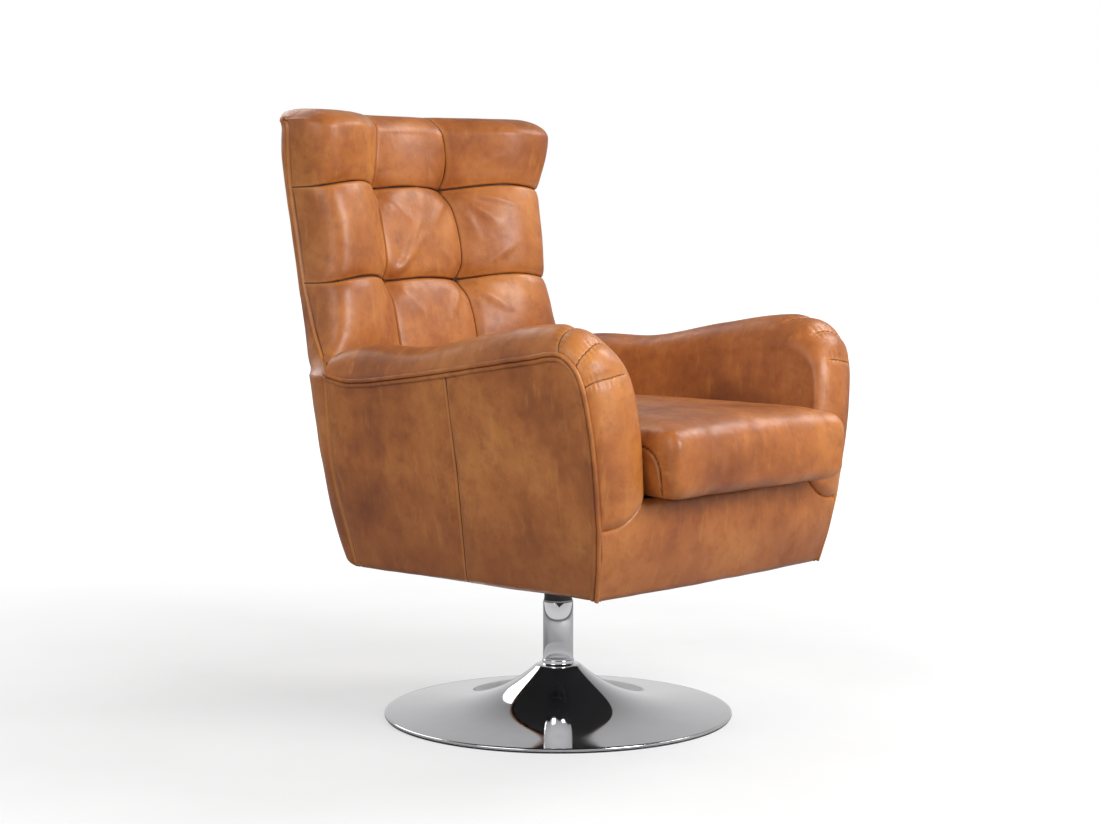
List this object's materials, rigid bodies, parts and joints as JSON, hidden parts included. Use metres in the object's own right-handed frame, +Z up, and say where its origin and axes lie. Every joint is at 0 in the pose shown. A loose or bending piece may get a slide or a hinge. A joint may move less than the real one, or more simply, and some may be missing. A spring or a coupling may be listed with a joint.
{
  "type": "leather armchair",
  "caption": "Leather armchair with a tufted back, rolled arms with piped edges and a loose seat cushion, turning on a flared chrome foot with a short column.",
  "frame": {"origin": "on the floor, on the axis that the seat turns about", "axes": "+Z up, the sitter faces -Y, +X is the sitter's left"},
  "size_m": [0.6888, 0.8378, 0.999],
  "materials": {
    "tan_leather": "satin waxed leather, tan, with darker cloudy patches",
    "polished_chrome": "mirror polish",
    "black_steel": "satin black paint",
    "cast_weight": "rough casting, primed",
    "glide_rubber": "matt",
    "bush_plastic": "natural nylon",
    "plain_steel": "bright zinc",
    "frame_timber": "sawn timber and plywood",
    "foam": "open foam with fibre wrap",
    "black_cloth": "plain non-woven cloth"
  },
  "bodies": {
    "base": {"foot_skirt": "polished_chrome", "foot_glide_ring": "glide_rubber", "foot_pan": "black_steel", "foot_weight": "cast_weight", "column_tube": "polished_chrome", "column_collar": "polished_chrome", "upper_bush": "bush_plastic", "lower_bush": "bush_plastic", "thrust_washer": "bush_plastic"},
    "seat": {"spindle": "plain_steel", "retaining_bolt": "plain_steel", "retaining_washer": "plain_steel", "swivel_boss": "black_steel", "swivel_plate": "black_steel", "plate_bolts": "plain_steel", "left_bearer": "frame_timber", "right_bearer": "frame_timber", "side_rail_left": "frame_timber", "side_rail_right": "frame_timber", "front_rail": "frame_timber", "rear_rail": "frame_timber", "corner_blocks": "frame_timber", "back_blocks": "frame_timber", "arm_frame_left": "frame_timber", "arm_frame_right": "frame_timber", "back_frame": "frame_timber", "back_webbing": "black_cloth", "seat_springs": "plain_steel", "spring_clips": "plain_steel", "seat_deck": "black_cloth", "dust_cover": "black_cloth", "arm_foam_left": "foam", "arm_foam_right": "foam", "side_front_left": "tan_leather", "side_front_right": "tan_leather", "side_rear_left": "tan_leather", "side_rear_right": "tan_leather", "arm_cover_left": "tan_leather", "arm_cover_right": "tan_leather", "arm_inside_left": "tan_leather", "arm_inside_right": "tan_leather", "arm_welt_left": "tan_leather", "arm_welt_right": "tan_leather", "front_panel": "tan_leather", "outer_back": "tan_leather", "back_cover": "tan_leather", "back_foam": "foam", "tuft_ties": "plain_steel"},
    "cushion": {"seat_cushion": "tan_leather", "cushion_core": "foam", "cushion_underside": "tan_leather"}
  },
  "joints": [
    {"name": "seat_swivel", "type": "hinge", "parent": "base", "child": "seat", "pos_m": [0, 0, 0.19], "axis": [0, 0, 1], "continuous": true},
    {"name": "cushion_lift", "type": "slide", "parent": "seat", "child": "cushion", "axis": [0, 0, 1], "range_m": [0, 0.15]}
  ]
}
